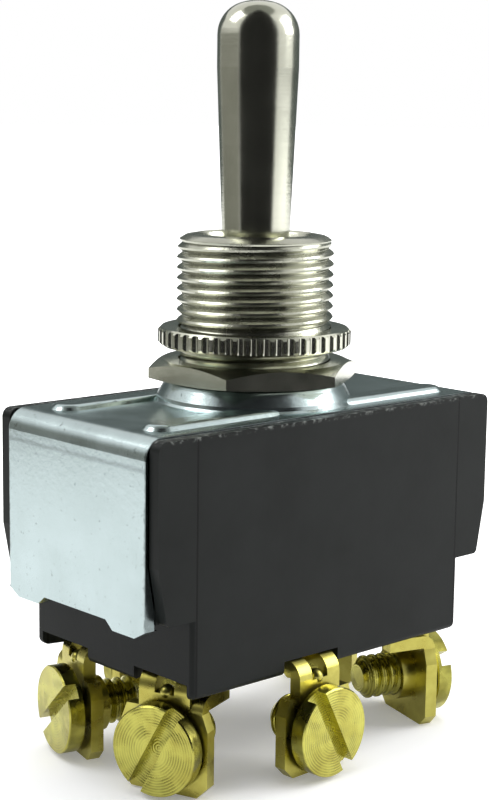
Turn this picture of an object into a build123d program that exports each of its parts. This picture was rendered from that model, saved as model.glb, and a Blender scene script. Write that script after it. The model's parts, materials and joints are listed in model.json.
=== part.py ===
"""Bat-handle toggle switch: double pole, double throw, centre off, with screw terminals.

Lengths are in millimetres and +Z is up. The origin is on the axis of the threaded bushing,
on the surface that the six terminal plates stand on. X runs from one end terminal to the
other, and Y runs from the front pole to the back pole.
"""
from build123d import *
import math
import os

os.makedirs("parts", exist_ok=True)

# ---- overall levels -------------------------------------------------------------------
case_bottom = 7.9          # underside of the case, above the foot of the terminals
case_height = 18.7         # underside up to the top of the two side cheeks
ledge_drop = 12.9          # cheek top down to the ledge that the frame hooks under
running_gap = 0.05         # radial clearance of everything that turns or slides
seat_gap = 0.05            # clearance between stacked flat parts
case_top = case_bottom + case_height
ledge_z = case_top - ledge_drop

# ---- case -----------------------------------------------------------------------------
body_length = 27.7         # lower block, along X
body_width = 18.2          # along Y, cheek face to cheek face
cheek_overhang = 3.05      # side walls stand past each end of the block
cheek_thickness = 1.0
cheek_taper = 0.8          # each cheek end comes in by this much at its foot
cheek_taper_height = 4.2
cheek_corner_radius = 0.7
wall = 1.6
floor_thickness = 2.0
barrier_thickness = 1.0    # insulating wall between the poles
barrier_height = 4.0
case_edge_radius = 0.35
case_foot_radius = 0.5
cheek_foot_radius = 0.4
cheek_length = body_length + 2 * cheek_overhang

# ---- frame ----------------------------------------------------------------------------
sheet = 0.8                # plated steel sheet
leg_proud = 0.25           # outer face of each leg past the cheek ends
leg_gap = 0.05             # inner face of each leg to the case
frame_side_gap = 0.1       # leg edge to cheek
frame_rise = 0.1           # plate top above the cheek top
bend_radius = 1.5          # outside of the two bends
leg_drop = 13.3            # cheek top down to the foot of the leg
hook_width = 4.4           # from the leg's edge to the far end of the hook
hook_reach = 1.1
left_hook_depth = 0.65     # below the foot of the leg
right_hook_depth = 0.15
hook_outer_ramp = 1.2
hook_inner_ramp = 0.8
boss_height = 1.6
boss_top_radius = 6.9
boss_base_radius = 7.35
boss_foot_radius = 0.5     # hollow round at the foot of the boss
boss_brow_radius = 0.3     # and the round at its top
frame_edge_radius = 0.18   # rolled long edges of the strip
bead_inset = 2.7           # bead's middle line to the edge of the plate
bead_end_inset = 2.15      # bead's end to the outside of the leg
bead_width = 2.9
bead_height = 0.4
bead_slope = 45            # degrees from upright
bead_round = 0.6
plate_top = case_top + frame_rise
plate_bottom = plate_top - sheet
boss_top = plate_top + boss_height
frame_width = body_width - 2 * (cheek_thickness + frame_side_gap)
frame_length = cheek_length + 2 * leg_proud
upper_length = frame_length - 2 * (sheet + leg_gap)
bead_offset = frame_width / 2 - bead_inset
bead_length = frame_length - 2 * bead_end_inset

# ---- liner ----------------------------------------------------------------------------
liner_thickness = 0.4
liner_hole_radius = 6.6
wall_top = plate_bottom - liner_thickness - 2 * seat_gap

# ---- bushing, nuts --------------------------------------------------------------------
bushing_height = 12.75     # bushing top above the cheek top
thread_radius = 5.95       # 15/32 inch bushing, 32 threads to the inch
thread_pitch = 25.4 / 32
thread_depth = 0.42
crest_flat = 0.12
nut_zone_relief = 0.17     # crests under the nuts are this much lower
last_crest_relief = 0.1    # the half-formed crest below the rim
rim_radius = 5.5
rim_height = 0.95
rim_drop = 0.42            # how far the rounded rim falls from the mouth to its edge
lip_radius = 5.75          # rim above the thread
mouth_radius = 4.3
flange_radius = 6.2
flange_thickness = 0.7
hex_across_flats = 14.3
hex_thickness = 1.5
hex_turn = 33.3            # corner direction, degrees from +X
hex_top_chamfer = 0.55     # fall of the upper chamfer at a corner
hex_bottom_chamfer = 0.2
hex_face_inset = 0.15      # round upper face inside the flats
knurled_nut_radius = 7.35
knurled_nut_thickness = 1.4
knurled_nut_lift = 1.05    # gap left for the panel, hex nut to knurled nut
flute_count = 50
flute_radius = 0.33
flute_turn = 3.8           # degrees
knurled_edge = 0.26        # chamfer of both rims
bushing_top = case_top + bushing_height
thread_start = boss_top + 0.23
hex_bottom = boss_top + seat_gap
hex_top = hex_bottom + hex_thickness
knurled_bottom = hex_top + knurled_nut_lift
knurled_top = knurled_bottom + knurled_nut_thickness
nut_bore_radius = thread_radius - nut_zone_relief + running_gap

# ---- lever ----------------------------------------------------------------------------
pivot_rise = 4.75          # lever's pivot above the cheek top
lever_height = 29.95       # lever tip above the cheek top
bat_radius = 3.05
dome_height = 2.55
dome_corner_radius = 2.45
bat_straight = 2.4
neck_radius = 2.56         # at the mouth of the bushing
waist_radius = 2.35        # just above the ball
waist_rise = 2.4
ball_radius = 3.5
socket_gap = 0.1
shank_radius = 2.2
shank_drop = 10.75         # pivot down to the end of the shank
spring_bore_radius = 1.5
spring_bore_drop = 4.35    # pivot down to the blind end of the spring's bore
pin_radius = 0.8
pin_length = 10.6
lever_throw = 11.0         # degrees each way from the centre
lever_top = case_top + lever_height
pivot_z = case_top + pivot_rise
shank_bottom = pivot_z - shank_drop
spring_bore_top = pivot_z - spring_bore_drop

# ---- plunger and spring ---------------------------------------------------------------
plunger_top_drop = 6.95    # pivot down to the top of the plunger
plunger_hub_radius = 3.4
plunger_floor = 0.8
crossbar_drop = 12.75      # pivot down to the underside of the crossbar
crossbar_height = 2.2
crossbar_half_width = 1.6
nose_radius = 1.3
nose_length = 2.4
spring_wire = 0.36
spring_coils = 7
plunger_top = pivot_z - plunger_top_drop
crossbar_bottom = pivot_z - crossbar_drop

# ---- poles ----------------------------------------------------------------------------
rocker_side_gap = 0.75     # rocker to the inside of the case
rocker_inner_gap = 0.65    # rocker to the barrier between the poles
rocker_angle = 6.0         # arm slope, and the rocker's travel each way, degrees
rocker_lift = 3.7          # rocker pin above the floor
rocker_rise = 2.7          # top of the rocker's middle above its pin
rocker_end = 1.8           # arm past the middle of its contact
rocker_thickness = 1.0
nose_gap = 0.12            # plunger nose to rocker at rest
lug_radius = 1.3
lug_thickness = 0.7
lug_inset = 0.2            # rocker's lug inside the rocker's edge
lug_gap = 0.1              # fulcrum's ear inside the lug
fulcrum_half_length = 2.2
pin_end_gap = 0.05         # rocker pin inside each edge of the rocker
rocker_pin_radius = 0.6
contact_inset = 5.45       # contact to the end of the lower block
contact_radius = 1.5
moving_contact_height = 0.8
fixed_contact_height = 0.6
closed_gap = 0.04          # left between contacts at the end of travel
post_radius = 1.6
rivet_radius = 0.78
rivet_gap = 0.03
rivet_head_radius = 1.3
rivet_head_height = 0.35

# ---- terminals ------------------------------------------------------------------------
terminal_sheet = 1.0
strap_width = 4.2
strap_bend_radius = 1.4
plate_width = 7.1
shoulder_gap = 1.55        # shoulder of the plate to the underside of the case
shoulder_side = 0.45       # sheared corner of each shoulder, across the plate
shoulder_drop = 1.2        # and down it
plate_chamfer = 0.85
plate_foot_rise = {"front_left": 0.15, "back_left": 0.3, "front_centre": 0.4}  # sheared shorter
window_width = 1.6
window_depth = 1.5
window_reach = 2.2
bump_radius = 0.6
ear_length = 4.1           # tab of each end terminal, bent inward beside its strap
ear_bend = 1.1             # outside radius of its bend
collar_radius = 2.1
collar_length = 1.2
groove_side_gap = 0.65     # slot in the case, each side of the strap
end_inset = 0.6            # leg of each end terminal inside the end of the case
end_side_inset = 3.7       # and from the side of the case
end_splay = 17.0           # degrees, each end terminal turned outward from X
centre_offset = 2.2        # centre terminals, from the middle towards -X
centre_proud = 0.9         # leg of each centre terminal outside the case
centre_splay = 2.0         # degrees, each centre terminal turned from Y towards +X
front_left_twist = 3.0     # degrees, the set that each left-hand plate has taken
back_left_twist = 2.5

# ---- terminal screws ------------------------------------------------------------------
screw_z = 3.65
screw_head_radius = 3.35
screw_head_height = 1.3
screw_head_edge = 0.1
screw_radius = 1.72
screw_thread_depth = 0.38
screw_pitch = 25.4 / 32
end_screw_length = 5.6
centre_screw_length = 4.3
slot_width = 1.15
slot_depth = 0.9
head_lift = 0.3            # screws stand slightly open, as delivered

screw_turns = {"front_left": -28, "front_centre": 27.5, "front_right": 60,
               "back_left": -51, "back_centre": 15, "back_right": -70}

floor_top = case_bottom + floor_thickness
rocker_width = body_width / 2 - wall - barrier_thickness / 2 - rocker_side_gap - rocker_inner_gap
pole_y = body_width / 2 - wall - rocker_side_gap - rocker_width / 2
rocker_pivot_z = floor_top + rocker_lift
contact_x = body_length / 2 - contact_inset
rocker_reach = contact_x + rocker_end
strap_bottom = case_bottom + seat_gap
strap_top = strap_bottom + terminal_sheet
groove_top = strap_top + seat_gap
shoulder_z = case_bottom - shoulder_gap
collar_bore_radius = screw_radius + running_gap


# ---- shared shapes --------------------------------------------------------------------
def block(x0, x1, y0, y1, z0, z1):
    """A box between three pairs of limits."""
    centre = Pos((x0 + x1) / 2, (y0 + y1) / 2, (z0 + z1) / 2)
    return centre * Box(abs(x1 - x0), abs(y1 - y0), abs(z1 - z0))


def rod(radius, z0, z1):
    """A cylinder on the Z axis between two heights."""
    return Pos(0, 0, (z0 + z1) / 2) * Cylinder(radius, z1 - z0)


def cross_rod(radius, length, y, z):
    """A cylinder along Y, centred at the given Y and Z."""
    return Pos(0, y, z) * Rot(90, 0, 0) * Cylinder(radius, length)


def turned(profile):
    """A closed outline of (radius, height) points turned about Z."""
    outline = Plane.XZ * make_face(Polyline(*profile, close=True))
    return revolve(outline, Axis.Z)


def thread_profile(crest, depth, pitch, z0, turns):
    """Ring-shaped thread crests as (radius, height) points, bottom to top."""
    points = []
    for turn in range(turns):
        middle = z0 + (turn + 0.5) * pitch
        points += [
            (crest - depth, middle - pitch / 2 + crest_flat / 2),
            (crest, middle - crest_flat / 2),
            (crest, middle + crest_flat / 2),
            (crest - depth, middle + pitch / 2 - crest_flat / 2),
        ]
    return points


def node(shape, name):
    """Write one piece to its own file."""
    export_step(shape, "parts/" + name + ".step")


# ---- terminal places: (name, leg position, outward direction in degrees) --------------
def terminal_places():
    """Each terminal's name, local frame (+X outward), rivet, side of its ear (or 0) and screw."""
    places = []
    end_x = body_length / 2 - end_inset
    end_y = body_width / 2 - end_side_inset
    centre_y = body_width / 2 + centre_proud
    twist = {"front_left": front_left_twist, "back_left": back_left_twist}
    for pole, side in (("front", -1), ("back", 1)):
        for end, way in (("left", -1), ("right", 1)):
            name = pole + "_" + end
            heading = 180 * (way < 0) + side * way * end_splay + twist.get(name, 0)
            place = Pos(way * end_x, side * end_y, 0) * Rot(0, 0, heading)
            rivet = (way * contact_x, side * pole_y)
            places.append((name, place, rivet, side * way, end_screw_length))
        heading = side * (90 - centre_splay)
        place = Pos(-centre_offset, side * centre_y, 0) * Rot(0, 0, heading)
        places.append((pole + "_centre", place, (0, side * pole_y), 0, centre_screw_length))
    return places


def in_place(place, x, y):
    """A point of the XY plane in the local frame of a terminal."""
    local = place.inverse() * Pos(x, y, 0)
    return local.position.X, local.position.Y


def strap_outline(place, rivet, width):
    """The flat strap from the leg to its rivet, seen from above, local frame."""
    rivet_x, rivet_y = in_place(place, *rivet)
    knee_x = -width / 2 - 1.2
    reach = math.hypot(rivet_x - knee_x, rivet_y)
    turn = math.degrees(math.atan2(rivet_y, rivet_x - knee_x))
    tail = Pos((knee_x + rivet_x) / 2, rivet_y / 2) * Rot(0, 0, turn) * SlotCenterToCenter(reach, width)
    return tail + Pos(knee_x / 2, 0) * Rectangle(-knee_x, width)


# ---- case -----------------------------------------------------------------------------
def make_case():
    half_width = body_width / 2
    inner_width = half_width - cheek_thickness
    body = block(-body_length / 2, body_length / 2, -half_width, half_width, case_bottom, wall_top)
    body = fillet(body.edges().filter_by(Axis.Z), case_edge_radius)
    end_feet = body.edges().filter_by(Axis.Y).group_by(Axis.Z)[0]
    body = fillet(end_feet, case_foot_radius)
    body += block(-upper_length / 2, upper_length / 2, -inner_width, inner_width, ledge_z, wall_top)
    top, foot, taper_z = cheek_length / 2, cheek_length / 2 - cheek_taper, ledge_z + cheek_taper_height
    outline = [(-foot, ledge_z), (-top, taper_z), (-top, case_top),
               (top, case_top), (top, taper_z), (foot, ledge_z)]
    cheek = extrude(Plane.XZ * make_face(Polyline(*outline, close=True)), cheek_thickness / 2, both=True)
    upper_corners = cheek.edges().filter_by(Axis.Y).group_by(Axis.Z)[-1]
    cheek = fillet(upper_corners, cheek_corner_radius)
    lower_corners = cheek.edges().filter_by(Axis.Y).group_by(Axis.Z)[0]
    cheek = fillet(lower_corners, cheek_foot_radius)
    for side in (-1, 1):
        body += Pos(0, side * (half_width - cheek_thickness / 2), 0) * cheek

    lower_x = body_length / 2 - wall
    upper_x = upper_length / 2 - wall
    step_z = ledge_z + wall
    inner_y = half_width - wall
    body -= block(-lower_x, lower_x, -inner_y, inner_y, floor_top, wall_top + 1)
    body -= block(-upper_x, upper_x, -inner_y, inner_y, step_z, wall_top + 1)
    end_edges = body.edges().filter_by(Axis.Y).filter_by_position(Axis.Z, wall_top - 0.01, wall_top + 0.01)
    outer_edges = [edge for edge in end_edges if abs(edge.center().X) > upper_length / 2 - 0.1]
    body = chamfer(outer_edges, bend_radius / 2)
    body += block(-lower_x, lower_x, -barrier_thickness / 2, barrier_thickness / 2,
                  floor_top, floor_top + barrier_height)
    for name, place, rivet, ear_side, length in terminal_places():
        groove = extrude(strap_outline(place, rivet, strap_width + 2 * groove_side_gap),
                         groove_top - case_bottom + 1)
        mouth = block(0, body_width / 4, -strap_width / 2 - groove_side_gap, strap_width / 2 + groove_side_gap,
                      case_bottom - 1, groove_top)
        body -= place * (Pos(0, 0, case_bottom - 1) * groove + mouth)
        body -= Pos(*rivet, 0) * rod(rivet_radius + rivet_gap, case_bottom, floor_top + 1)
    return body


# ---- frame ----------------------------------------------------------------------------
def make_frame():
    half_length, half_width = frame_length / 2, frame_width / 2
    leg_foot = case_top - leg_drop
    outside = block(-half_length, half_length, -half_width, half_width, leg_foot, plate_top)
    outer_bends = outside.edges().filter_by(Axis.Y).group_by(Axis.Z)[-1]
    outside = fillet(outer_bends, bend_radius)
    for face in (outside.faces().sort_by(Axis.Y)[0], outside.faces().sort_by(Axis.Y)[-1]):
        rolled = [edge for edge in face.edges() if edge.center().Z > leg_foot + 0.01]
        outside = fillet(rolled, frame_edge_radius)
    inside = block(-half_length + sheet, half_length - sheet, -half_width, half_width,
                   leg_foot - 1, plate_bottom)
    inner_bends = inside.edges().filter_by(Axis.Y).group_by(Axis.Z)[-1]
    inside = fillet(inner_bends, bend_radius - sheet)
    frame = outside - inside
    for way, depth in ((-1, left_hook_depth), (1, right_hook_depth)):
        foot = leg_foot - depth
        outline = [(half_width, leg_foot), (half_width - hook_outer_ramp, foot),
                   (half_width - hook_width + hook_inner_ramp, foot),
                   (half_width - hook_width, leg_foot)]
        for side in (-1, 1):
            points = [(side * y, z) for y, z in outline]
            hook = extrude(Plane.YZ * make_face(Polyline(*points, close=True)), hook_reach)
            frame += Pos(half_length - hook_reach if way > 0 else -half_length, 0, 0) * hook
    for side in (-1, 1):
        ridge = extrude(SlotOverall(bead_length, bead_width), bead_height, taper=bead_slope)
        ridge = fillet(ridge.edges().group_by(Axis.Z)[-1], bead_round)
        frame += Pos(0, side * bead_offset, plate_top - 0.01) * ridge
        hollow = Pos(0, side * bead_offset, plate_bottom - 0.01) * extrude(
            SlotOverall(bead_length - sheet, bead_width - sheet), bead_height, taper=bead_slope)
        frame -= hollow
    foot, brow = boss_foot_radius, boss_brow_radius
    frame += turned([(0, plate_top - 0.02), (boss_base_radius + foot, plate_top - 0.02),
                     (boss_base_radius + 0.45 * foot, plate_top + 0.12 * foot),
                     (boss_base_radius + 0.12 * foot, plate_top + 0.45 * foot),
                     (boss_base_radius, plate_top + foot), (boss_top_radius, boss_top - brow),
                     (boss_top_radius - 0.3 * brow, boss_top - 0.3 * brow),
                     (boss_top_radius - brow, boss_top), (0, boss_top)])
    frame -= rod(flange_radius + running_gap, plate_bottom - 1, boss_top - sheet)
    frame -= rod(rim_radius + running_gap, plate_bottom, boss_top + 1)
    return frame


# ---- liner ----------------------------------------------------------------------------
def make_liner():
    half_length = upper_length / 2 - bend_radius / 2
    half_width = frame_width / 2
    z0 = wall_top + seat_gap
    sheet_body = block(-half_length, half_length, -half_width, half_width, z0, z0 + liner_thickness)
    return sheet_body - rod(liner_hole_radius, z0 - 1, z0 + 1)


# ---- bushing --------------------------------------------------------------------------
def make_bushing():
    neck_bottom = boss_top - sheet
    flange_bottom = neck_bottom - flange_thickness
    rim_bottom = bushing_top - rim_height
    lower_turns = round((knurled_top - thread_start) / thread_pitch)
    free_start = thread_start + lower_turns * thread_pitch
    free_turns = int((rim_bottom - free_start) / thread_pitch)
    free_top = free_start + free_turns * thread_pitch
    covered = thread_profile(thread_radius - nut_zone_relief, thread_depth - nut_zone_relief,
                             thread_pitch, thread_start, lower_turns)
    free = thread_profile(thread_radius, thread_depth, thread_pitch, free_start, free_turns)
    profile = [(0, flange_bottom), (flange_radius, flange_bottom), (flange_radius, neck_bottom),
               (rim_radius, neck_bottom), (rim_radius, thread_start)]
    profile += covered + free
    last_crest = thread_profile(thread_radius - last_crest_relief, thread_depth - last_crest_relief,
                                thread_pitch * 0.85, free_top, 1)
    profile += last_crest
    profile += [(rim_radius, last_crest[-1][1] + 0.03), (lip_radius, last_crest[-1][1] + 0.2),
                (lip_radius, bushing_top - rim_drop), (lip_radius - 0.45, bushing_top - rim_drop / 3),
                (mouth_radius + 0.2, bushing_top), (0, bushing_top)]
    bushing = turned(profile)
    tilt = math.tan(math.radians(lever_throw))
    seat_top = pivot_z + 1.6
    seat_radius = math.sqrt((ball_radius + socket_gap) ** 2 - 1.6 ** 2)
    lower_radius = (pivot_z - flange_bottom) * tilt + shank_radius + 0.35
    bore = turned([(0, seat_top), (seat_radius, seat_top), (mouth_radius, bushing_top - 0.2),
                   (mouth_radius + 0.2, bushing_top + 0.01), (0, bushing_top + 0.01)])
    bore += Pos(0, 0, pivot_z) * Sphere(ball_radius + socket_gap)
    bore += rod(ball_radius + socket_gap, pivot_z - 1.5, pivot_z)
    bore += rod(lower_radius, flange_bottom - 1, pivot_z)
    bushing -= bore
    return bushing - cross_rod(pin_radius + 0.02, 2 * thread_radius + 2, 0, pivot_z)


def make_hex_nut():
    corner_radius = hex_across_flats / math.sqrt(3)
    prism = Pos(0, 0, hex_bottom) * Rot(0, 0, hex_turn) * extrude(
        RegularPolygon(corner_radius, 6), hex_thickness)
    face_radius = hex_across_flats / 2 - hex_face_inset
    envelope = turned([(0, hex_bottom), (face_radius, hex_bottom),
                       (corner_radius, hex_bottom + hex_bottom_chamfer),
                       (corner_radius, hex_top - hex_top_chamfer), (face_radius, hex_top), (0, hex_top)])
    return (prism & envelope) - rod(nut_bore_radius, hex_bottom - 1, hex_top + 1)


def make_knurled_nut():
    edge = knurled_edge
    nut = turned([(nut_bore_radius, knurled_bottom), (knurled_nut_radius - edge, knurled_bottom),
                  (knurled_nut_radius, knurled_bottom + edge), (knurled_nut_radius, knurled_top - edge),
                  (knurled_nut_radius - edge, knurled_top), (nut_bore_radius, knurled_top)])
    flutes = [Rot(0, 0, flute_turn + 360 * index / flute_count) * Pos(knurled_nut_radius + 0.08, 0, 0)
              * rod(flute_radius, knurled_bottom + 0.1, knurled_top - 0.1)
              for index in range(flute_count)]
    return nut - flutes


# ---- lever and its pin ----------------------------------------------------------------
def make_lever():
    dome_base = lever_top - dome_height
    taper_top = dome_base - bat_straight
    profile = [(0, shank_bottom), (shank_radius, shank_bottom), (shank_radius, pivot_z),
               (waist_radius, pivot_z + waist_rise), (waist_radius, pivot_z + ball_radius),
               (neck_radius, bushing_top), (bat_radius, taper_top)]
    corner_x = bat_radius - dome_corner_radius
    corner_rise = dome_height - dome_corner_radius
    crown_drop = (corner_x ** 2 - corner_rise ** 2) / (2 * corner_rise)
    knee = math.atan2(crown_drop, corner_x)
    knee_point = (corner_x + dome_corner_radius * math.cos(knee),
                  dome_base + dome_corner_radius * math.sin(knee))
    side = Polyline(*profile, (bat_radius, dome_base))
    corner = TangentArc((bat_radius, dome_base), knee_point, tangent=(0, 1))
    crown = TangentArc(knee_point, (0, lever_top), tangent=corner % 1)
    axis = Line((0, lever_top), (0, shank_bottom))
    lever = revolve(Plane.XZ * make_face(side + corner + crown + axis), Axis.Z)
    lever += Pos(0, 0, pivot_z) * Sphere(ball_radius)
    lever -= rod(spring_bore_radius, shank_bottom - 1, spring_bore_top)
    return lever - cross_rod(pin_radius + running_gap, 2 * ball_radius + 2, 0, pivot_z)


def make_lever_pin():
    return cross_rod(pin_radius, pin_length, 0, pivot_z)


# ---- plunger and its spring -----------------------------------------------------------
nose_z = rocker_pivot_z + rocker_rise + nose_gap + nose_radius


def make_plunger():
    floor_z = crossbar_bottom + plunger_floor
    crossbar_half_length = pole_y + nose_length / 2
    plunger = rod(plunger_hub_radius, crossbar_bottom, plunger_top)
    plunger += block(-crossbar_half_width, crossbar_half_width, -crossbar_half_length,
                     crossbar_half_length, crossbar_bottom, crossbar_bottom + crossbar_height)
    for side in (-1, 1):
        plunger += cross_rod(nose_radius, nose_length, side * pole_y, nose_z)
        plunger += block(-nose_radius, nose_radius, side * (pole_y - nose_length / 2),
                         side * (pole_y + nose_length / 2), nose_z, crossbar_bottom + 0.2)
    return plunger - rod(shank_radius + running_gap, floor_z, plunger_top + 1)


def make_spring():
    z0 = crossbar_bottom + plunger_floor + spring_wire / 2 + 0.02
    z1 = spring_bore_top - spring_wire / 2 - 0.02
    coil_radius = spring_bore_radius - spring_wire / 2 - 0.1
    path = Pos(0, 0, z0) * Helix((z1 - z0) / spring_coils, z1 - z0, coil_radius)
    section = Plane(path @ 0, z_dir=path % 0) * Circle(spring_wire / 2)
    return sweep(section, path, is_frenet=True)


# ---- rockers, their pins and contacts -------------------------------------------------
arm_bottom = rocker_rise - rocker_thickness        # rocker underside above its pivot, at the vertex
arm_lift = arm_bottom * math.cos(math.radians(rocker_angle))
closed_face_z = rocker_pivot_z + arm_lift - moving_contact_height


def tilted(shape, way):
    """Turn an arm from its closed pose to rest, about the rocker's pin."""
    pivot = Pos(0, 0, rocker_pivot_z)
    return pivot * Rot(0, way * rocker_angle, 0) * pivot.inverse() * shape


def make_rocker(side):
    arm_z = rocker_pivot_z + arm_lift
    half = rocker_width / 2
    rocker = None
    for way in (-1, 1):
        arm = block(0, way * rocker_reach, -half, half, arm_z, arm_z + rocker_thickness)
        arm -= Pos(way * contact_x, 0, 0) * rod(rivet_radius + rivet_gap, arm_z - 1, arm_z + 2)
        arm = tilted(arm, -way)
        cut = block(0, -way * rocker_rise, -half - 1, half + 1, rocker_pivot_z, rocker_pivot_z + 2 * rocker_rise)
        arm -= cut
        rocker = arm if rocker is None else rocker + arm
    lug_outer = half - lug_inset
    for way in (-1, 1):
        y0 = way * (lug_outer - lug_thickness)
        y1 = way * lug_outer
        lug = block(-lug_radius, lug_radius, y0, y1, rocker_pivot_z, rocker_pivot_z + arm_bottom + 0.3)
        lug += Pos(0, (y0 + y1) / 2, 0) * cross_rod(lug_radius, lug_thickness, 0, rocker_pivot_z)
        rocker += lug
    rocker -= cross_rod(rocker_pin_radius + running_gap, rocker_width + 2, 0, rocker_pivot_z)
    return Pos(0, side * pole_y, 0) * rocker


def make_moving_contacts(side):
    arm_z = rocker_pivot_z + arm_lift
    contacts = []
    for way in (-1, 1):
        contact = rod(contact_radius, arm_z - moving_contact_height, arm_z)
        contact += rod(rivet_radius, arm_z - 0.1, arm_z + rocker_thickness)
        contacts.append(tilted(Pos(way * contact_x, 0, 0) * contact, -way))
    return Pos(0, side * pole_y, 0) * Compound(children=contacts)


def make_rocker_pin(side):
    return Pos(0, side * pole_y, 0) * cross_rod(rocker_pin_radius, rocker_width - 2 * pin_end_gap, 0, rocker_pivot_z)


def make_fulcrum(side):
    base_top = floor_top + sheet
    ear_outer = rocker_width / 2 - lug_inset - lug_thickness - lug_gap
    bracket = block(-fulcrum_half_length, fulcrum_half_length, -ear_outer, ear_outer, floor_top, base_top)
    for way in (-1, 1):
        y0 = way * (ear_outer - lug_thickness)
        y1 = way * ear_outer
        ear = block(-lug_radius, lug_radius, y0, y1, floor_top, rocker_pivot_z)
        ear += Pos(0, (y0 + y1) / 2, 0) * cross_rod(lug_radius, lug_thickness, 0, rocker_pivot_z)
        bracket += ear
    bracket -= cross_rod(rocker_pin_radius + 0.02, rocker_width, 0, rocker_pivot_z)
    bracket -= rod(rivet_radius + rivet_gap, floor_top - 1, base_top + 1)
    return Pos(0, side * pole_y, 0) * bracket


def rivet_tail():
    """The shank through floor and strap, with the clenched end under the strap."""
    tail = rod(rivet_radius, strap_bottom - rivet_head_height, floor_top)
    return tail + rod(rivet_head_radius, strap_bottom - rivet_head_height, strap_bottom)


def make_fulcrum_rivets():
    base_top = floor_top + sheet
    rivet = rivet_tail() + rod(rivet_radius, floor_top - 0.5, base_top)
    rivet += rod(0.95, base_top, base_top + rivet_head_height)
    return Compound(children=[Pos(0, side * pole_y, 0) * rivet for side in (-1, 1)])


def make_contact_posts():
    post_top = closed_face_z - closed_gap - fixed_contact_height
    post = rod(post_radius, floor_top, post_top) + rivet_tail()
    return Compound(children=[Pos(way * contact_x, side * pole_y, 0) * post
                              for way in (-1, 1) for side in (-1, 1)])


def make_fixed_contacts():
    top = closed_face_z - closed_gap
    button = rod(contact_radius, top - fixed_contact_height, top)
    return Compound(children=[Pos(way * contact_x, side * pole_y, 0) * button
                              for way in (-1, 1) for side in (-1, 1)])


# ---- terminals and screws -------------------------------------------------------------
def make_terminal(place, rivet, ear_side, foot):
    half_strap, half_plate = strap_width / 2, plate_width / 2
    terminal = Pos(0, 0, strap_bottom) * extrude(strap_outline(place, rivet, strap_width), terminal_sheet)
    terminal += block(-terminal_sheet, 0, -half_strap, half_strap, shoulder_z - 1, strap_bottom + 0.5)
    outer_bend = terminal.edges().filter_by(Axis.Y).sort_by_distance((0, 0, strap_top))[0]
    terminal = fillet([outer_bend], strap_bend_radius)
    half_top, half_foot = half_plate - shoulder_side, half_plate - plate_chamfer
    corner_z = shoulder_z - shoulder_drop
    outline = [(-half_foot, foot), (-half_plate, foot + plate_chamfer), (-half_plate, corner_z),
               (-half_top, shoulder_z), (half_top, shoulder_z), (half_plate, corner_z),
               (half_plate, foot + plate_chamfer), (half_foot, foot)]
    terminal += extrude(Plane.YZ * make_face(Polyline(*outline, close=True)), -terminal_sheet)
    terminal -= block(-window_reach, 1, -window_width / 2, window_width / 2,
                      strap_top - window_depth, strap_top + 1)
    terminal += Pos(-terminal_sheet / 2, 0, strap_top - window_depth) * Sphere(bump_radius)
    if ear_side:
        ear_top = shoulder_z + ear_bend
        ear = block(-ear_length, 0, half_strap - 0.1, half_top, shoulder_z - 0.2, ear_top)
        ear = fillet(ear.edges().filter_by(Axis.Y).sort_by_distance((0, half_top, ear_top))[0:1], ear_bend)
        ear -= block(-ear_length - 1, -terminal_sheet, 0, half_plate, 0, ear_top - terminal_sheet)
        terminal += ear if ear_side > 0 else mirror(ear, Plane.XZ)
    across = Pos(0, 0, screw_z) * Rot(0, -90, 0)
    terminal += across * rod(collar_radius, terminal_sheet / 2, terminal_sheet + collar_length)
    terminal -= across * rod(collar_bore_radius, -1, terminal_sheet + collar_length + 1)
    rivet_x, rivet_y = in_place(place, *rivet)
    terminal -= Pos(rivet_x, rivet_y, 0) * rod(rivet_radius + rivet_gap, strap_bottom - 1, strap_top + 1)
    return place * terminal


def make_screw(place, length, turn):
    turns = int((length - 0.9) / screw_pitch)
    thread_end = -length + 0.35
    root = screw_radius - screw_thread_depth
    head_top = screw_head_height
    profile = [(0, -length), (root - 0.25, -length), (root, thread_end)]
    profile += thread_profile(screw_radius, screw_thread_depth, screw_pitch, thread_end, turns)
    profile += [(root, thread_end + turns * screw_pitch), (root, 0), (screw_head_radius - screw_head_edge, 0),
                (screw_head_radius, screw_head_edge), (screw_head_radius, head_top - screw_head_edge),
                (screw_head_radius - screw_head_edge, head_top), (0, head_top)]
    screw = turned(profile)
    screw -= block(-screw_head_radius - 1, screw_head_radius + 1, -slot_width / 2, slot_width / 2,
                   head_top - slot_depth, head_top + 1)
    return place * Pos(head_lift, 0, screw_z) * Rot(0, 90, 0) * Rot(0, 0, turn) * screw


# ---- write every piece ----------------------------------------------------------------
node(make_case(), "case")
node(make_frame(), "frame")
node(make_liner(), "insulating_liner")
node(make_bushing(), "bushing")
node(make_hex_nut(), "hex_nut")
node(make_knurled_nut(), "knurled_nut")
node(make_lever(), "toggle_lever")
node(make_lever_pin(), "lever_pin")
node(make_plunger(), "plunger")
node(make_spring(), "lever_spring")
for pole, side in (("front", -1), ("back", 1)):
    node(make_rocker(side), "rocker_" + pole)
    node(make_moving_contacts(side), "moving_contacts_" + pole)
    node(make_rocker_pin(side), "rocker_pin_" + pole)
    node(make_fulcrum(side), "fulcrum_" + pole)
node(make_fulcrum_rivets(), "fulcrum_rivets")
node(make_contact_posts(), "contact_posts")
node(make_fixed_contacts(), "fixed_contacts")
for name, place, rivet, ear_side, screw_length in terminal_places():
    node(make_terminal(place, rivet, ear_side, plate_foot_rise.get(name, 0)), "terminal_" + name)
    node(make_screw(place, screw_length, screw_turns[name]), "screw_" + name)
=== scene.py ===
import bpy
import bmesh
import json
import math
from mathutils import Euler, Matrix, Vector


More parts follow.
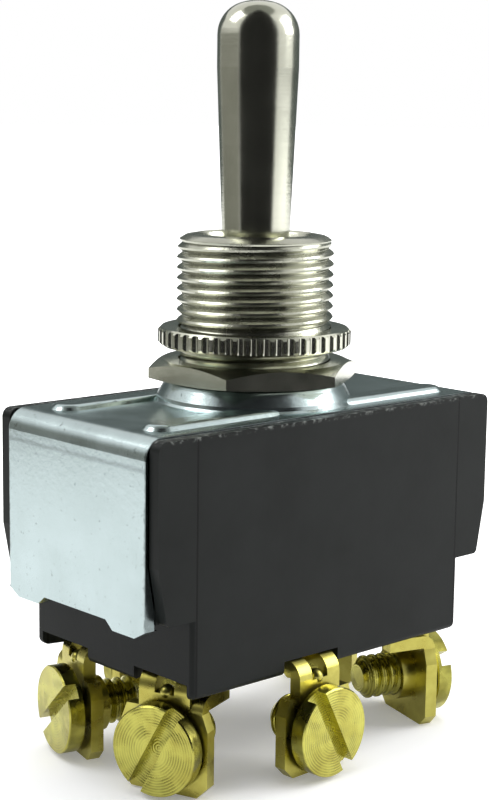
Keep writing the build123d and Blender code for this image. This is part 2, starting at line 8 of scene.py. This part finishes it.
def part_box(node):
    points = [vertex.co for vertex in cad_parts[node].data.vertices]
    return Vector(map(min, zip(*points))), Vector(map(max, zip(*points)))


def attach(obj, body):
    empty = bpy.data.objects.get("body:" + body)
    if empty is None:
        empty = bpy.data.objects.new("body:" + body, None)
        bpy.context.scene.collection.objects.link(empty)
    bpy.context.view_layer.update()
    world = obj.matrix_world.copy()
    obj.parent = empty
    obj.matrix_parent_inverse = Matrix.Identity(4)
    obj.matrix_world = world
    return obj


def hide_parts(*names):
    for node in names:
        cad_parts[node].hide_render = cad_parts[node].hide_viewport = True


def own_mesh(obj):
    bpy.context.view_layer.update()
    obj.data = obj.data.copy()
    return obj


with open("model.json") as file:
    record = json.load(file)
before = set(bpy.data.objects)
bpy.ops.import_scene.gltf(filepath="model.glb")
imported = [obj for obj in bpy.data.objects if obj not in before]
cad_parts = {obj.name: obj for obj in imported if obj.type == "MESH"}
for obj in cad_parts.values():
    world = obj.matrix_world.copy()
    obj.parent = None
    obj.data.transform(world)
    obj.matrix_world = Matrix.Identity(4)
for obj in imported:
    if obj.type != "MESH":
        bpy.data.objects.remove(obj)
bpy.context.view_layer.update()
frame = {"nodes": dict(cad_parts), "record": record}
nodes = frame["nodes"]
bpy.ops.object.select_all(action="DESELECT")

# ---- Camera -----------------------------------------------------------------------------
# A short lens close to the switch, a hand's width from its front left corner and a little
# above it, so that the terminals are seen from above and the lever nearly level.
camera_place = (-0.090415, -0.09776, 0.04888)
camera_heading, camera_dip, camera_roll = -42.62, 9.53, 0.77
lens = bpy.data.cameras.new("close_up_lens")
lens.lens = 79.3
lens.sensor_width = 36
lens.shift_x = -0.0057
lens.shift_y = 0.0009
lens.clip_start = 0.005
lens.clip_end = 50
camera = bpy.data.objects.new("camera", lens)
bpy.context.scene.collection.objects.link(camera)
looking = Euler((math.radians(90 - camera_dip), 0, math.radians(camera_heading)))
camera.matrix_world = (Matrix.Translation(camera_place) @ looking.to_matrix().to_4x4()
                       @ Matrix.Rotation(math.radians(camera_roll), 4, "Z"))
bpy.context.scene.camera = camera
bpy.context.scene.view_settings.view_transform = "Standard"


# ---- Table and light --------------------------------------------------------------------
# The switch stands on a matt white table under a broad overhead softbox, with a second one
# to its right. A black cloth hangs in front and a grey card stands at the left: only the
# bright metal mirrors them, as the dark and middle bands down its round parts.
def add_node(tree, kind, settings=None, **sockets):
    made = tree.nodes.new(kind)
    for name, value in (settings or {}).items():
        setattr(made, name, value)
    for name, value in sockets.items():
        made.inputs[name.replace("_", " ")].default_value = value
    return made


def wire(tree, source, socket):
    """A socket takes another node's output, or a plain value."""
    if isinstance(source, bpy.types.NodeSocket):
        tree.links.new(source, socket)
    else:
        socket.default_value = source


def reckon(tree, operation, *terms):
    """The result of one sum on numbers or outputs."""
    made = add_node(tree, "ShaderNodeMath", {"operation": operation})
    for term, socket in zip(terms, made.inputs):
        wire(tree, term, socket)
    return made.outputs[0]


def remap(tree, value, low, high, to_low=0.0, to_high=1.0, ramp="LINEAR"):
    """A value that goes from to_low to to_high as another goes from low to high."""
    made = add_node(tree, "ShaderNodeMapRange", {"interpolation_type": ramp},
                    From_Min=low, From_Max=high, To_Min=to_low, To_Max=to_high)
    tree.links.new(value, made.inputs["Value"])
    return made.outputs[0]


def new_material(name):
    material = bpy.data.materials.new(name)
    material.use_nodes = True
    return material, material.node_tree, material.node_tree.nodes["Principled BSDF"]


def object_place(tree):
    return add_node(tree, "ShaderNodeTexCoord").outputs["Object"]


def split_place(tree, place):
    made = add_node(tree, "ShaderNodeSeparateXYZ")
    tree.links.new(place, made.inputs[0])
    return made.outputs


# The table is whiter away from the switch, so that it meets the white room with no edge, and
# its own shadowed white near the feet.
table_white, tree, shader = new_material("table_white")
shader.inputs["Base Color"].default_value = (0.93, 0.93, 0.93, 1)
shader.inputs["Roughness"].default_value = 0.9
shader.inputs["Specular IOR Level"].default_value = 0
shader.inputs["Emission Color"].default_value = (1, 1, 1, 1)
rays = add_node(tree, "ShaderNodeLightPath").outputs
from_middle = add_node(tree, "ShaderNodeVectorMath", {"operation": "LENGTH"})
tree.links.new(object_place(tree), from_middle.inputs[0])
whiter = remap(tree, from_middle.outputs["Value"], 0.03, 0.2, 0.22, 1.0)
mirrored = reckon(tree, "MAXIMUM", rays["Is Glossy Ray"], rays["Is Transmission Ray"])
lift = reckon(tree, "ADD", reckon(tree, "MULTIPLY", mirrored, 0.1),
              reckon(tree, "MULTIPLY", rays["Is Camera Ray"], whiter))
tree.links.new(lift, shader.inputs["Emission Strength"])
bpy.ops.mesh.primitive_plane_add(size=6, location=(0, 0, 0))
table = bpy.context.object
table.name = "table"
table.data.materials.append(table_white)

world = bpy.data.worlds.new("white_room")
world.use_nodes = True
bpy.context.scene.world = world
tree = world.node_tree
room = tree.nodes["Background"]
room.inputs["Color"].default_value = (0.97, 0.985, 1, 1)
room.inputs["Strength"].default_value = 0.5
backdrop = add_node(tree, "ShaderNodeBackground", Color=(1, 1, 1, 1), Strength=1.0)
rays = add_node(tree, "ShaderNodeLightPath").outputs
mirrored = reckon(tree, "MAXIMUM", rays["Is Glossy Ray"], rays["Is Transmission Ray"])
seen = reckon(tree, "MAXIMUM", rays["Is Camera Ray"], mirrored)
either = add_node(tree, "ShaderNodeMixShader")
tree.links.new(seen, either.inputs[0])
tree.links.new(room.outputs[0], either.inputs[1])
tree.links.new(backdrop.outputs[0], either.inputs[2])
tree.links.new(either.outputs[0], tree.nodes["World Output"].inputs["Surface"])


def softbox(name, place, size, power):
    """A square soft light that faces the switch."""
    light = bpy.data.lights.new(name, "AREA")
    light.size = size
    light.energy = power
    lamp = bpy.data.objects.new(name, light)
    bpy.context.scene.collection.objects.link(lamp)
    lamp.location = place
    lamp.rotation_mode = "QUATERNION"
    lamp.rotation_quaternion = (Vector((0, 0, 0.02)) - lamp.location).to_track_quat("-Z", "Y")
    return lamp


overhead = softbox("softbox_overhead", (0.05, 0.1, 0.7), 0.6, 3.4)
overhead.visible_glossy = False
softbox("softbox_right", (0.5, -0.3, 0.3), 0.4, 3.0)
softbox("softbox_left", (-0.22, 0.23, 0.38), 0.22, 0.6)


def standing_card(name, first, last, radius, bottom, top, glow, fade=0.02, roofed=False):
    """A curved card round part of the table, soft at its edges, that shows only in bright metal.
    It stands from one heading to another, in degrees, and fades out over its top or has a roof."""
    bpy.ops.mesh.primitive_cylinder_add(vertices=96, radius=radius, depth=top - bottom,
                                        end_fill_type="TRIFAN" if roofed else "NOTHING",
                                        location=(0, 0, (top + bottom) / 2))
    card = bpy.context.object
    card.name = name
    card.data.transform(card.matrix_world)
    card.matrix_world = Matrix.Identity(4)
    middle, half = (first + last) / 2, (last - first) / 2
    shape = bmesh.new()
    shape.from_mesh(card.data)
    spare = []
    for face in shape.faces:
        centre = face.calc_center_median()
        heading = math.degrees(math.atan2(centre.y, centre.x)) - middle
        if abs((heading + 180) % 360 - 180) > half + 2 or centre.z < bottom + 0.001:
            spare.append(face)
    bmesh.ops.delete(shape, geom=spare, context="FACES")
    shape.to_mesh(card.data)
    shape.free()

    material, tree, shader = new_material(name)
    shader.inputs["Base Color"].default_value = (0.01, 0.01, 0.01, 1)
    shader.inputs["Specular IOR Level"].default_value = 0
    shader.inputs["Emission Color"].default_value = (*glow, 1)
    shader.inputs["Emission Strength"].default_value = 1
    centred = add_node(tree, "ShaderNodeMapping", Rotation=(0, 0, -math.radians(middle)))
    tree.links.new(object_place(tree), centred.inputs["Vector"])
    spot = split_place(tree, centred.outputs[0])
    off = reckon(tree, "ABSOLUTE", reckon(tree, "ARCTAN2", spot["Y"], spot["X"]))
    cover = remap(tree, off, math.radians(half), math.radians(half - 9))
    if not roofed:
        thin_top = remap(tree, spot["Z"], top - fade, top, 1.0, 0.0, "SMOOTHSTEP")
        cover = reckon(tree, "MULTIPLY", cover, thin_top)
    tree.links.new(cover, shader.inputs["Alpha"])
    card.data.materials.append(material)
    card.visible_camera = False
    card.visible_diffuse = False
    card.visible_shadow = False
    card.visible_transmission = False


standing_card("black_cloth", 168, 287, 0.085, 0.0, 0.35, (0.012, 0.012, 0.012), roofed=True)
standing_card("grey_card", 92, 176, 0.15, 0.0, 0.1, (0.265, 0.265, 0.24), fade=0.05)
standing_card("low_grey_card", -25, 100, 0.3, 0.02, 0.2, (0.1, 0.12, 0.115))
standing_card("grey_ceiling", -200, 200, 0.22, 0.45, 0.46, (0.3, 0.31, 0.29), roofed=True)


# ---- Case -------------------------------------------------------------------------------
# The body is moulded black phenolic: dull, with the slight haze and faint pits of a thermoset
# that has been tumbled to take off its flash.
def cloud_and_grain_group():
    """Soft cloudy variation and fine grain, shared by every finish."""
    group = bpy.data.node_groups.new("cloud_and_grain", "ShaderNodeTree")
    face = group.interface
    face.new_socket("Vector", in_out="INPUT", socket_type="NodeSocketVector")
    face.new_socket("Cloud Scale", in_out="INPUT", socket_type="NodeSocketFloat")
    face.new_socket("Grain Scale", in_out="INPUT", socket_type="NodeSocketFloat")
    face.new_socket("Cloud", in_out="OUTPUT", socket_type="NodeSocketFloat")
    face.new_socket("Grain", in_out="OUTPUT", socket_type="NodeSocketFloat")
    start = group.nodes.new("NodeGroupInput").outputs
    end = group.nodes.new("NodeGroupOutput").inputs
    cloud = add_node(group, "ShaderNodeTexNoise", Detail=4.0, Roughness=0.55)
    grain = add_node(group, "ShaderNodeTexNoise", Detail=2.0, Roughness=0.6)
    group.links.new(start["Vector"], cloud.inputs["Vector"])
    group.links.new(start["Vector"], grain.inputs["Vector"])
    group.links.new(start["Cloud Scale"], cloud.inputs["Scale"])
    group.links.new(start["Grain Scale"], grain.inputs["Scale"])
    group.links.new(remap(group, cloud.outputs[0], 0.3, 0.7), end["Cloud"])
    group.links.new(grain.outputs[0], end["Grain"])
    return group


cloud_and_grain = cloud_and_grain_group()


def mix_colours(tree, share, first, second):
    """A colour between two, each of them plain or an output."""
    made = add_node(tree, "ShaderNodeMix", {"data_type": "RGBA"})
    wire(tree, share, made.inputs[0])
    wire(tree, first, made.inputs[6])
    wire(tree, second, made.inputs[7])
    return made.outputs[2]


def add_bump(tree, shader, height, depth, sunk=False):
    """Raises or sinks a pattern on top of the relief that the finish already has."""
    made = add_node(tree, "ShaderNodeBump", {"invert": sunk}, Strength=1.0, Distance=depth)
    for link in shader.inputs["Normal"].links:
        tree.links.new(link.from_socket, made.inputs["Normal"])
    tree.links.new(height, made.inputs["Height"])
    tree.links.new(made.outputs[0], shader.inputs["Normal"])


def finish_with_grain(name, dark, light, rough_low, rough_high, cloud_scale, grain_scale,
                      bump_depth, metallic=0.0, specular=0.5):
    """A finish whose colour and gloss drift between two values, with a fine grain."""
    material, tree, shader = new_material(name)
    marks = tree.nodes.new("ShaderNodeGroup")
    marks.node_tree = cloud_and_grain
    marks.inputs["Cloud Scale"].default_value = cloud_scale
    marks.inputs["Grain Scale"].default_value = grain_scale
    tree.links.new(object_place(tree), marks.inputs["Vector"])
    cloud = marks.outputs["Cloud"]
    tree.links.new(mix_colours(tree, cloud, (*dark, 1), (*light, 1)), shader.inputs["Base Color"])
    tree.links.new(remap(tree, cloud, 0.0, 1.0, rough_low, rough_high), shader.inputs["Roughness"])
    add_bump(tree, shader, marks.outputs["Grain"], bump_depth)
    shader.inputs["Metallic"].default_value = metallic
    shader.inputs["Specular IOR Level"].default_value = specular
    return material, tree, shader


def give(material, *names):
    """Every slot of these CAD pieces takes the material."""
    for name in names:
        mesh = nodes[name].data
        if not mesh.materials:
            mesh.materials.append(material)
        for i in range(len(mesh.materials)):
            mesh.materials[i] = material


phenolic, tree, shader = finish_with_grain(
    "black_phenolic", (0.0065, 0.0078, 0.007), (0.0125, 0.0143, 0.0135), 0.34, 0.48, 160, 2500,
    0.000006, specular=0.14)
case_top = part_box("case")[1][2]
place = object_place(tree)
spot = split_place(tree, place)
colour = shader.inputs["Base Color"].links[0].from_socket

# The mould's side slides met just inside the cheeks and left a fine upright groove there.
seam_place, seam_half_width = 0.01345, 0.00009
seam = reckon(tree, "COMPARE", reckon(tree, "ABSOLUTE", spot["X"]), seam_place, seam_half_width)
colour = mix_colours(tree, seam, colour, (0.002, 0.002, 0.002, 1))
add_bump(tree, shader, seam, 0.00004, sunk=True)

# The sharp upper edges of the cheeks are painted paler: partly scuffed where the frame was pressed
# on, partly a painted highlight along the edge.
edge_breakup = add_node(tree, "ShaderNodeTexNoise", Scale=2600.0, Detail=3.0, Roughness=0.7)
tree.links.new(place, edge_breakup.inputs["Vector"])
edge_highlight_and_scuff = reckon(tree, "MULTIPLY", remap(tree, spot["Z"], case_top - 0.0003, case_top - 0.00005),
               remap(tree, edge_breakup.outputs[0], 0.52, 0.66))
colour = mix_colours(tree, edge_highlight_and_scuff, colour, (0.17, 0.18, 0.17, 1))
tree.links.new(colour, shader.inputs["Base Color"])
give(phenolic, "case")


# ---- Frame ------------------------------------------------------------------------------
# One bent strip of sheet steel with a pale zinc plate: two beads and a drawn boss on top,
# a leg down each end, each hooked under the case by two tabs.
def scale_colour(tree, colour, amount):
    made = add_node(tree, "ShaderNodeVectorMath", {"operation": "SCALE"})
    tree.links.new(colour, made.inputs[0])
    tree.links.new(amount, made.inputs["Scale"])
    return made.outputs[0]


zinc, tree, shader = finish_with_grain(
    "zinc_plate", (0.425, 0.505, 0.503), (0.515, 0.608, 0.612), 0.19, 0.27, 260, 1800, 0.000009,
    metallic=1.0)
frame_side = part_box("frame")[1][1]
place = object_place(tree)
spot = split_place(tree, place)
colour = shader.inputs["Base Color"].links[0].from_socket

# Two faint grey bands are painted across each leg, just under the bend: a painted reflection of
# the darker surroundings in the metal there.
wander = add_node(tree, "ShaderNodeTexNoise", Scale=700.0, Detail=3.0)
tree.links.new(place, wander.inputs["Vector"])
height = reckon(tree, "MULTIPLY_ADD", wander.outputs[0], 0.00015, spot["Z"])
for drop, width, shade in ((0.0012, 0.0002, 0.86), (0.002, 0.0003, 0.72)):
    away = reckon(tree, "ABSOLUTE", reckon(tree, "SUBTRACT", height, case_top - drop))
    colour = scale_colour(tree, colour, remap(tree, away, 0.0, width, shade, 1.0, "SMOOTHSTEP"))

# The plate is thin and grey along the sheared edges of the strip, and has a few fine pits.
ragged = add_node(tree, "ShaderNodeTexNoise", Scale=1600.0, Detail=3.0, Roughness=0.65)
pits = add_node(tree, "ShaderNodeTexNoise", Scale=3200.0, Detail=1.0, Roughness=0.4)
tree.links.new(place, ragged.inputs["Vector"])
tree.links.new(place, pits.inputs["Vector"])
sideways = reckon(tree, "MULTIPLY_ADD", ragged.outputs[0], 0.0005,
                  reckon(tree, "ABSOLUTE", spot["Y"]))
worn = remap(tree, sideways, frame_side + 0.00003, frame_side + 0.0002, 1.0, 0.4)
pitted = remap(tree, pits.outputs[0], 0.7, 0.75, 1.0, 0.7)
colour = scale_colour(tree, colour, reckon(tree, "MULTIPLY", worn, pitted))
tree.links.new(colour, shader.inputs["Base Color"])
give(zinc, "frame")


# ---- Bushing, nuts and lever ------------------------------------------------------------
# Turned from bar and bright nickel plated, a little warm in tone, with the fine rings that
# the tool left and the faint stains of handling. The bushing's thread is one long helix.
def turning_rings_group():
    """Rings about the local Z axis, across flat faces and along round ones: Ring is irregular,
    and Score is even and stronger in patches."""
    group = bpy.data.node_groups.new("turning_rings", "ShaderNodeTree")
    face = group.interface
    face.new_socket("Vector", in_out="INPUT", socket_type="NodeSocketVector")
    face.new_socket("Ring Scale", in_out="INPUT", socket_type="NodeSocketFloat")
    face.new_socket("Ring", in_out="OUTPUT", socket_type="NodeSocketFloat")
    face.new_socket("Score", in_out="OUTPUT", socket_type="NodeSocketFloat")
    start = group.nodes.new("NodeGroupInput").outputs
    end = group.nodes.new("NodeGroupOutput").inputs
    spot = split_place(group, start["Vector"])
    flat = add_node(group, "ShaderNodeCombineXYZ")
    radius = add_node(group, "ShaderNodeVectorMath", {"operation": "LENGTH"})
    joined = add_node(group, "ShaderNodeCombineXYZ")
    rings = add_node(group, "ShaderNodeTexNoise", Detail=3.0, Roughness=0.7)
    group.links.new(spot["X"], flat.inputs["X"])
    group.links.new(spot["Y"], flat.inputs["Y"])
    group.links.new(flat.outputs[0], radius.inputs[0])
    group.links.new(radius.outputs["Value"], joined.inputs["X"])
    group.links.new(spot["Z"], joined.inputs["Z"])
    group.links.new(joined.outputs[0], rings.inputs["Vector"])
    group.links.new(start["Ring Scale"], rings.inputs["Scale"])
    group.links.new(remap(group, rings.outputs[0], 0.3, 0.7), end["Ring"])
    scores = add_node(group, "ShaderNodeTexWave", {"wave_type": "RINGS", "rings_direction": "Z"},
                      Distortion=1.2, Detail=2.0)
    patches = add_node(group, "ShaderNodeTexNoise", Scale=900.0, Detail=1.0)
    group.links.new(start["Vector"], scores.inputs["Vector"])
    group.links.new(start["Ring Scale"], scores.inputs["Scale"])
    group.links.new(start["Vector"], patches.inputs["Vector"])
    strong = remap(group, patches.outputs[0], 0.35, 0.6, 0.15, 1.0)
    group.links.new(reckon(group, "MULTIPLY", scores.outputs["Fac"], strong), end["Score"])
    return group


turning_rings = turning_rings_group()


def turn_finish(tree, shader, point, axis, ring_scale, depth, first, last, mark="Ring"):
    """Adds tool rings about an axis to a finish: they darken it and break its highlights."""
    straighten = Vector(axis).rotation_difference(Vector((0, 0, 1))).to_matrix()
    turn = add_node(tree, "ShaderNodeMapping", Rotation=straighten.to_euler("XYZ"),
                    Location=-(straighten @ Vector(point)))
    rings = tree.nodes.new("ShaderNodeGroup")
    rings.node_tree = turning_rings
    rings.inputs["Ring Scale"].default_value = ring_scale
    tree.links.new(object_place(tree), turn.inputs["Vector"])
    tree.links.new(turn.outputs[0], rings.inputs["Vector"])
    plain = shader.inputs["Base Color"].links[0].from_socket
    shade = remap(tree, rings.outputs[mark], 0.0, 1.0, first, last)
    tree.links.new(scale_colour(tree, plain, shade), shader.inputs["Base Color"])
    add_bump(tree, shader, rings.outputs[mark], depth)


plate_dark, plate_light = (0.54, 0.545, 0.45), (0.66, 0.665, 0.56)
nickel, tree, shader = finish_with_grain(
    "nickel_plate", plate_dark, plate_light, 0.14, 0.23, 220, 3000, 0.000005, metallic=1.0)
give(nickel, "hex_nut", "knurled_nut", "lever_pin", "bushing")
satin_nickel, tree, shader = finish_with_grain(
    "satin_nickel", (0.4, 0.405, 0.333), (0.55, 0.555, 0.465), 0.19, 0.3, 420, 2400, 0.000012,
    metallic=1.0)
turned_nickel, tree, shader = finish_with_grain(
    "turned_nickel", plate_dark, plate_light, 0.14, 0.22, 220, 3000, 0.000004, metallic=1.0)
turn_finish(tree, shader, (0, 0, 0), (0, 0, 1), 2600, 0.000002, 0.94, 1.0)
give(turned_nickel, "toggle_lever")


def copy_of(name, new_name):
    """A second piece with the mesh of a CAD node."""
    piece = nodes[name].copy()
    piece.data = nodes[name].data.copy()
    piece.name = new_name
    bpy.context.scene.collection.objects.link(piece)
    return piece


# The CAD bushing carries plain rings where the real one has a thread, so it is copied here
# with the rings turned off to the root, and a single thread is wound over that core.
crest_radius, root_radius, thread_pitch = 0.00595, 0.00553, 0.0254 / 32
core_radius = root_radius - 0.00004
nut_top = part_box("knurled_nut")[1][2]
bushing_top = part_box("bushing")[1][2]
lowest_ring, highest_ring = nut_top - 0.0045, bushing_top - 0.0008
threaded = copy_of("bushing", "threaded_bushing")
core = bmesh.new()
core.from_mesh(threaded.data)
bmesh.ops.remove_doubles(core, verts=core.verts, dist=1e-7)
for corner in core.verts:
    out = math.hypot(corner.co.x, corner.co.y)
    if out > core_radius and lowest_ring < corner.co.z < highest_ring:
        corner.co.x *= core_radius / out
        corner.co.y *= core_radius / out
core.to_mesh(threaded.data)
core.free()

# The thread's profile is a rounded ridge, one pitch high, wound up from below the nuts.
thread_foot = nut_top - 3.8 * thread_pitch
turns = 12 + 47 / 360
bpy.ops.mesh.primitive_circle_add(vertices=16, radius=thread_pitch / 2, fill_type="NOTHING",
                                  location=(root_radius, 0, thread_foot),
                                  rotation=(math.pi / 2, 0, 0))
thread = bpy.context.object
thread.name = "thread_profile"
thread.data.transform(thread.matrix_world)
thread.matrix_world = Matrix.Identity(4)
for corner in thread.data.vertices:
    height = (corner.co.z - thread_foot) / (thread_pitch / 2)
    if corner.co.x > root_radius + 1e-6:
        swell = 0.5 + 0.5 * math.cos(math.pi * height)
        corner.co.x = root_radius + (crest_radius - root_radius) * swell ** 0.8
    else:
        corner.co.x = root_radius - 0.0001
winding = thread.modifiers.new("winding", "SCREW")
winding.angle = 2 * math.pi * turns
winding.screw_offset = thread_pitch * turns
winding.steps = winding.render_steps = round(90 * turns)
winding.use_merge_vertices = False
bpy.context.view_layer.objects.active = thread
bpy.ops.object.modifier_apply(modifier="winding")

# The crests are lower inside the nuts, where the thread is engaged, and again at the rim,
# where the bushing's edge is turned off.
engaged_height = 0.55
rim_start, rim_depth = bushing_top - 0.00115, 0.0005
wound = bmesh.new()
wound.from_mesh(thread.data)
bmesh.ops.remove_doubles(wound, verts=wound.verts, dist=1e-7)
bmesh.ops.holes_fill(wound, edges=[edge for edge in wound.edges if edge.is_boundary], sides=0)
for corner in wound.verts:
    out = math.hypot(corner.co.x, corner.co.y)
    if out <= root_radius:
        continue
    full = engaged_height if corner.co.z < nut_top + 0.0002 else 1.0
    turned_off = min(1.0, max(0.0, (corner.co.z - rim_start) / rim_depth))
    wanted = root_radius + (out - root_radius) * min(full, 1.0 - 0.5 * turned_off)
    corner.co.x *= wanted / out
    corner.co.y *= wanted / out
bmesh.ops.recalc_face_normals(wound, faces=wound.faces)
wound.to_mesh(thread.data)
wound.free()

bpy.ops.object.select_all(action="DESELECT")
thread.select_set(True)
threaded.select_set(True)
bpy.context.view_layer.objects.active = threaded
bpy.ops.object.join()
bpy.ops.object.shade_smooth_by_angle(angle=math.radians(24))
bpy.ops.object.select_all(action="DESELECT")
threaded.data.materials.clear()
threaded.data.materials.append(satin_nickel)
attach(threaded, "switch_body")
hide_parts("bushing")

# ---- Mechanism --------------------------------------------------------------------------
# Out of sight: a fibre liner, a nylon plunger on its spring, and copper rockers with silver
# contacts on brass fulcrums.
fibre, tree, shader = finish_with_grain(
    "vulcanised_fibre", (0.19, 0.17, 0.145), (0.25, 0.23, 0.20), 0.7, 0.85, 300, 3500, 0.00002)
give(fibre, "insulating_liner")
nylon, tree, shader = finish_with_grain(
    "natural_nylon", (0.74, 0.71, 0.62), (0.81, 0.78, 0.69), 0.35, 0.45, 200, 2500, 0.000008)
give(nylon, "plunger")
steel, tree, shader = finish_with_grain(
    "spring_steel", (0.45, 0.45, 0.45), (0.55, 0.55, 0.54), 0.22, 0.34, 400, 4000, 0.000006,
    metallic=1.0)
give(steel, "lever_spring", "rocker_pin_front", "rocker_pin_back")
copper, tree, shader = finish_with_grain(
    "copper", (0.66, 0.36, 0.22), (0.78, 0.45, 0.29), 0.2, 0.34, 260, 3000, 0.000008,
    metallic=1.0)
give(copper, "rocker_front", "rocker_back")
silver, tree, shader = finish_with_grain(
    "silver", (0.78, 0.78, 0.76), (0.88, 0.88, 0.86), 0.18, 0.3, 400, 3000, 0.000006,
    metallic=1.0)
give(silver, "moving_contacts_front", "moving_contacts_back", "fixed_contacts")

# The spring bears on the blind end of the lever's bore; a copy with a mesh of its own rides with
# the lever in place of the CAD spring.
spring = copy_of("lever_spring", "plunger_spring")
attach(spring, "lever")
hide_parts("lever_spring")
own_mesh(spring)

# ---- Terminals --------------------------------------------------------------------------
# Blanked and bent from brass strip and satin from the rolling. The posts, fulcrums and rivets
# inside are the same brass.
brass, tree, shader = finish_with_grain(
    "brass_strip", (0.38, 0.33, 0.07), (0.56, 0.52, 0.13), 0.24, 0.36, 500, 2600, 0.000008,
    metallic=1.0)
ends = ("left", "centre", "right")
give(brass, "fulcrum_front", "fulcrum_back", "fulcrum_rivets", "contact_posts",
     *["terminal_front_" + end for end in ends], *["terminal_back_" + end for end in ends])

# ---- Terminal screws --------------------------------------------------------------------
# Turned brass binding-head screws: the faces keep the rings of the parting tool. The front left
# screw is given a darker brass, and the front centre and back left ones a lighter brass, than the
# rest.
tone = {"front_left": 0.92, "front_centre": 1.2, "back_left": 1.08}
for joint in frame["record"]["behaviour"]["joints"]:
    if not joint["name"].startswith("screw_turn_"):
        continue
    which = joint["name"].replace("screw_turn_", "")
    bright = tone.get(which, 1.0)
    screw_brass, tree, shader = finish_with_grain(
        "turned_brass_" + which, (0.38 * bright, 0.34 * bright, 0.07 * bright),
        (0.56 * bright, 0.54 * bright, 0.125 * bright), 0.2, 0.32, 420, 2600, 0.000006,
        metallic=1.0)
    turn_finish(tree, shader, joint["pos_m"], joint["axis"], 1550, 0.00002, 1.06, 0.6, "Score")
    give(screw_brass, "screw_" + which)
